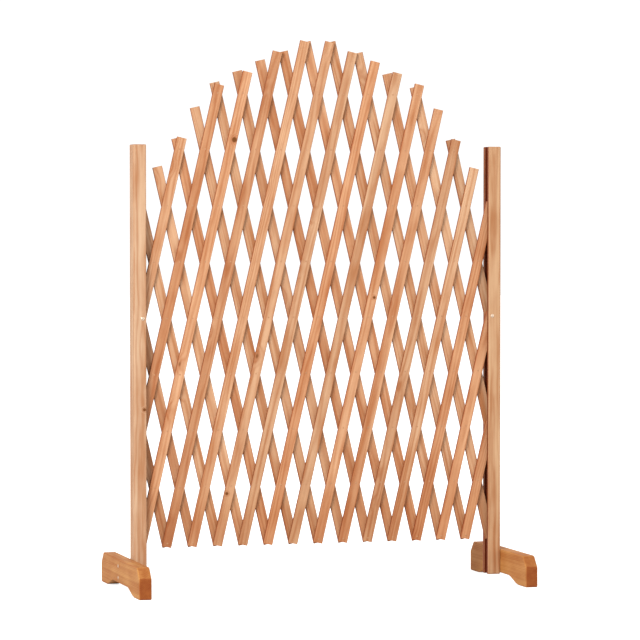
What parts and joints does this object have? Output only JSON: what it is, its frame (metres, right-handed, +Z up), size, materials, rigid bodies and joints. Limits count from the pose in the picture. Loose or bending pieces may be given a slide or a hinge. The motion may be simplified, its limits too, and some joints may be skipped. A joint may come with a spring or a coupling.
{
  "type": "wooden plant trellis panel",
  "caption": "Freestanding panel of crossing wooden slats pinned as a folding scissor lattice between two grooved posts on arched feet; it widens or narrows to carry climbing plants.",
  "frame": {"origin": "on the floor, at the middle of the panel's width and of the feet's length", "axes": "+Z up, +X to the right along the panel seen from the front, -Y towards the viewer, the side on which the slats rise to the right"},
  "size_m": [1.0088, 0.425, 1.3475],
  "materials": {
    "front_slat_wood": "satin",
    "back_slat_wood": "satin",
    "post_wood": "satin",
    "foot_wood": "satin",
    "pin_steel": "brushed",
    "screw_steel": "brushed"
  },
  "bodies": {
    "left_stand": {"left_post": "post_wood", "left_foot": "foot_wood", "left_foot_screws": "screw_steel", "left_pivot_screw": "screw_steel"},
    "front_01": {"front_slat_01": "front_slat_wood", "front_slat_pins_01": "pin_steel"},
    "front_02": {"front_slat_02": "front_slat_wood", "front_slat_pins_02": "pin_steel"},
    "front_03": {"front_slat_03": "front_slat_wood", "front_slat_pins_03": "pin_steel"},
    "front_04": {"front_slat_04": "front_slat_wood", "front_slat_pins_04": "pin_steel"},
    "front_05": {"front_slat_05": "front_slat_wood", "front_slat_pins_05": "pin_steel"},
    "front_06": {"front_slat_06": "front_slat_wood", "front_slat_pins_06": "pin_steel"},
    "front_07": {"front_slat_07": "front_slat_wood", "front_slat_pins_07": "pin_steel"},
    "front_08": {"front_slat_08": "front_slat_wood", "front_slat_pins_08": "pin_steel"},
    "front_09": {"front_slat_09": "front_slat_wood", "front_slat_pins_09": "pin_steel"},
    "front_10": {"front_slat_10": "front_slat_wood", "front_slat_pins_10": "pin_steel"},
    "front_11": {"front_slat_11": "front_slat_wood", "front_slat_pins_11": "pin_steel"},
    "front_12": {"front_slat_12": "front_slat_wood", "front_slat_pins_12": "pin_steel"},
    "front_13": {"front_slat_13": "front_slat_wood", "front_slat_pins_13": "pin_steel"},
    "front_14": {"front_slat_14": "front_slat_wood", "front_slat_pins_14": "pin_steel"},
    "front_15": {"front_slat_15": "front_slat_wood", "front_slat_pins_15": "pin_steel"},
    "front_16": {"front_slat_16": "front_slat_wood", "front_slat_pins_16": "pin_steel"},
    "back_01": {"back_slat_01": "back_slat_wood"},
    "back_02": {"back_slat_02": "back_slat_wood"},
    "back_03": {"back_slat_03": "back_slat_wood"},
    "back_04": {"back_slat_04": "back_slat_wood"},
    "back_05": {"back_slat_05": "back_slat_wood"},
    "back_06": {"back_slat_06": "back_slat_wood"},
    "back_07": {"back_slat_07": "back_slat_wood"},
    "back_08": {"back_slat_08": "back_slat_wood"},
    "back_09": {"back_slat_09": "back_slat_wood"},
    "back_10": {"back_slat_10": "back_slat_wood"},
    "back_11": {"back_slat_11": "back_slat_wood"},
    "back_12": {"back_slat_12": "back_slat_wood"},
    "back_13": {"back_slat_13": "back_slat_wood"},
    "back_14": {"back_slat_14": "back_slat_wood"},
    "back_15": {"back_slat_15": "back_slat_wood"},
    "back_16": {"back_slat_16": "back_slat_wood"},
    "right_stand": {"right_post": "post_wood", "right_foot": "foot_wood", "right_foot_screws": "screw_steel", "right_pivot_screw": "screw_steel"}
  },
  "joints": [
    {"name": "fold", "type": "hinge", "parent": "left_stand", "child": "front_01", "pos_m": [-0.449, 0, 0.664], "axis": [0, 1, 0], "range_deg": [-7.5, 13]},
    {"name": "back_02_turn", "type": "hinge", "parent": "left_stand", "child": "back_02", "pos_m": [-0.449, 0, 0.664], "axis": [0, 1, 0], "range_deg": [-13, 7.5]},
    {"name": "back_03_turn", "type": "hinge", "parent": "front_01", "child": "back_03", "pos_m": [-0.41693, 0, 0.80182], "axis": [0, 1, 0], "range_deg": [-26, 15]},
    {"name": "back_04_turn", "type": "hinge", "parent": "front_01", "child": "back_04", "pos_m": [-0.38485, 0, 0.93964], "axis": [0, 1, 0], "range_deg": [-26, 15]},
    {"name": "back_05_turn", "type": "hinge", "parent": "front_01", "child": "back_05", "pos_m": [-0.35278, 0, 1.07745], "axis": [0, 1, 0], "range_deg": [-26, 15]},
    {"name": "front_02_turn", "type": "hinge", "parent": "back_05", "child": "front_02", "pos_m": [-0.32071, 0, 0.93964], "axis": [0, 1, 0], "range_deg": [-15, 26]},
    {"name": "front_03_turn", "type": "hinge", "parent": "back_05", "child": "front_03", "pos_m": [-0.28864, 0, 0.80182], "axis": [0, 1, 0], "range_deg": [-15, 26]},
    {"name": "front_04_turn", "type": "hinge", "parent": "back_05", "child": "front_04", "pos_m": [-0.25657, 0, 0.664], "axis": [0, 1, 0], "range_deg": [-15, 26]},
    {"name": "front_05_turn", "type": "hinge", "parent": "back_05", "child": "front_05", "pos_m": [-0.2245, 0, 0.52618], "axis": [0, 1, 0], "range_deg": [-15, 26]},
    {"name": "front_06_turn", "type": "hinge", "parent": "back_05", "child": "front_06", "pos_m": [-0.19243, 0, 0.38836], "axis": [0, 1, 0], "range_deg": [-15, 26]},
    {"name": "front_07_turn", "type": "hinge", "parent": "back_05", "child": "front_07", "pos_m": [-0.16036, 0, 0.25055], "axis": [0, 1, 0], "range_deg": [-15, 26]},
    {"name": "front_08_turn", "type": "hinge", "parent": "back_05", "child": "front_08", "pos_m": [-0.12828, 0, 0.11273], "axis": [0, 1, 0], "range_deg": [-15, 26]},
    {"name": "back_01_turn", "type": "hinge", "parent": "front_03", "child": "back_01", "pos_m": [-0.41693, 0, 0.25055], "axis": [0, 1, 0], "range_deg": [-26, 15]},
    {"name": "back_06_turn", "type": "hinge", "parent": "front_08", "child": "back_06", "pos_m": [-0.09621, 0, 0.25055], "axis": [0, 1, 0], "range_deg": [-26, 15]},
    {"name": "back_07_turn", "type": "hinge", "parent": "front_08", "child": "back_07", "pos_m": [-0.06414, 0, 0.38836], "axis": [0, 1, 0], "range_deg": [-26, 15]},
    {"name": "back_08_turn", "type": "hinge", "parent": "front_08", "child": "back_08", "pos_m": [-0.03207, 0, 0.52618], "axis": [0, 1, 0], "range_deg": [-26, 15]},
    {"name": "back_09_turn", "type": "hinge", "parent": "front_08", "child": "back_09", "pos_m": [0, 0, 0.664], "axis": [0, 1, 0], "range_deg": [-26, 15]},
    {"name": "back_10_turn", "type": "hinge", "parent": "front_08", "child": "back_10", "pos_m": [0.03207, 0, 0.80182], "axis": [0, 1, 0], "range_deg": [-26, 15]},
    {"name": "back_11_turn", "type": "hinge", "parent": "front_08", "child": "back_11", "pos_m": [0.06414, 0, 0.93964], "axis": [0, 1, 0], "range_deg": [-26, 15]},
    {"name": "back_12_turn", "type": "hinge", "parent": "front_08", "child": "back_12", "pos_m": [0.09621, 0, 1.07745], "axis": [0, 1, 0], "range_deg": [-26, 15]},
    {"name": "back_13_turn", "type": "hinge", "parent": "front_08", "child": "back_13", "pos_m": [0.12828, 0, 1.21527], "axis": [0, 1, 0], "range_deg": [-26, 15]},
    {"name": "front_09_turn", "type": "hinge", "parent": "back_13", "child": "front_09", "pos_m": [0.16036, 0, 1.07745], "axis": [0, 1, 0], "range_deg": [-15, 26]},
    {"name": "front_10_turn", "type": "hinge", "parent": "back_13", "child": "front_10", "pos_m": [0.19243, 0, 0.93964], "axis": [0, 1, 0], "range_deg": [-15, 26]},
    {"name": "front_11_turn", "type": "hinge", "parent": "back_13", "child": "front_11", "pos_m": [0.2245, 0, 0.80182], "axis": [0, 1, 0], "range_deg": [-15, 26]},
    {"name": "front_12_turn", "type": "hinge", "parent": "back_13", "child": "front_12", "pos_m": [0.25657, 0, 0.664], "axis": [0, 1, 0], "range_deg": [-15, 26]},
    {"name": "front_13_turn", "type": "hinge", "parent": "back_13", "child": "front_13", "pos_m": [0.28864, 0, 0.52618], "axis": [0, 1, 0], "range_deg": [-15, 26]},
    {"name": "front_14_turn", "type": "hinge", "parent": "back_13", "child": "front_14", "pos_m": [0.32071, 0, 0.38836], "axis": [0, 1, 0], "range_deg": [-15, 26]},
    {"name": "front_15_turn", "type": "hinge", "parent": "back_13", "child": "front_15", "pos_m": [0.35278, 0, 0.25055], "axis": [0, 1, 0], "range_deg": [-15, 26]},
    {"name": "front_16_turn", "type": "hinge", "parent": "back_13", "child": "front_16", "pos_m": [0.38485, 0, 0.11273], "axis": [0, 1, 0], "range_deg": [-15, 26]},
    {"name": "back_14_turn", "type": "hinge", "parent": "front_15", "child": "back_14", "pos_m": [0.38485, 0, 0.38836], "axis": [0, 1, 0], "range_deg": [-26, 15]},
    {"name": "back_15_turn", "type": "hinge", "parent": "front_15", "child": "back_15", "pos_m": [0.41693, 0, 0.52618], "axis": [0, 1, 0], "range_deg": [-26, 15]},
    {"name": "right_stand_turn", "type": "hinge", "parent": "front_15", "child": "right_stand", "pos_m": [0.449, 0, 0.664], "axis": [0, 1, 0], "range_deg": [-13, 7.5]},
    {"name": "back_16_turn", "type": "hinge", "parent": "right_stand", "child": "back_16", "pos_m": [0.449, 0, 0.664], "axis": [0, 1, 0], "range_deg": [-13, 7.5]}
  ],
  "couplings": [
    {"joint": "back_02_turn", "follows": "fold", "ratio": -1},
    {"joint": "back_03_turn", "follows": "fold", "ratio": -2},
    {"joint": "back_04_turn", "follows": "fold", "ratio": -2},
    {"joint": "back_05_turn", "follows": "fold", "ratio": -2},
    {"joint": "front_02_turn", "follows": "fold", "ratio": 2},
    {"joint": "front_03_turn", "follows": "fold", "ratio": 2},
    {"joint": "front_04_turn", "follows": "fold", "ratio": 2},
    {"joint": "front_05_turn", "follows": "fold", "ratio": 2},
    {"joint": "front_06_turn", "follows": "fold", "ratio": 2},
    {"joint": "front_07_turn", "follows": "fold", "ratio": 2},
    {"joint": "front_08_turn", "follows": "fold", "ratio": 2},
    {"joint": "back_01_turn", "follows": "fold", "ratio": -2},
    {"joint": "back_06_turn", "follows": "fold", "ratio": -2},
    {"joint": "back_07_turn", "follows": "fold", "ratio": -2},
    {"joint": "back_08_turn", "follows": "fold", "ratio": -2},
    {"joint": "back_09_turn", "follows": "fold", "ratio": -2},
    {"joint": "back_10_turn", "follows": "fold", "ratio": -2},
    {"joint": "back_11_turn", "follows": "fold", "ratio": -2},
    {"joint": "back_12_turn", "follows": "fold", "ratio": -2},
    {"joint": "back_13_turn", "follows": "fold", "ratio": -2},
    {"joint": "front_09_turn", "follows": "fold", "ratio": 2},
    {"joint": "front_10_turn", "follows": "fold", "ratio": 2},
    {"joint": "front_11_turn", "follows": "fold", "ratio": 2},
    {"joint": "front_12_turn", "follows": "fold", "ratio": 2},
    {"joint": "front_13_turn", "follows": "fold", "ratio": 2},
    {"joint": "front_14_turn", "follows": "fold", "ratio": 2},
    {"joint": "front_15_turn", "follows": "fold", "ratio": 2},
    {"joint": "front_16_turn", "follows": "fold", "ratio": 2},
    {"joint": "back_14_turn", "follows": "fold", "ratio": -2},
    {"joint": "back_15_turn", "follows": "fold", "ratio": -2},
    {"joint": "right_stand_turn", "follows": "fold", "ratio": -1},
    {"joint": "back_16_turn", "follows": "fold", "ratio": -1}
  ]
}
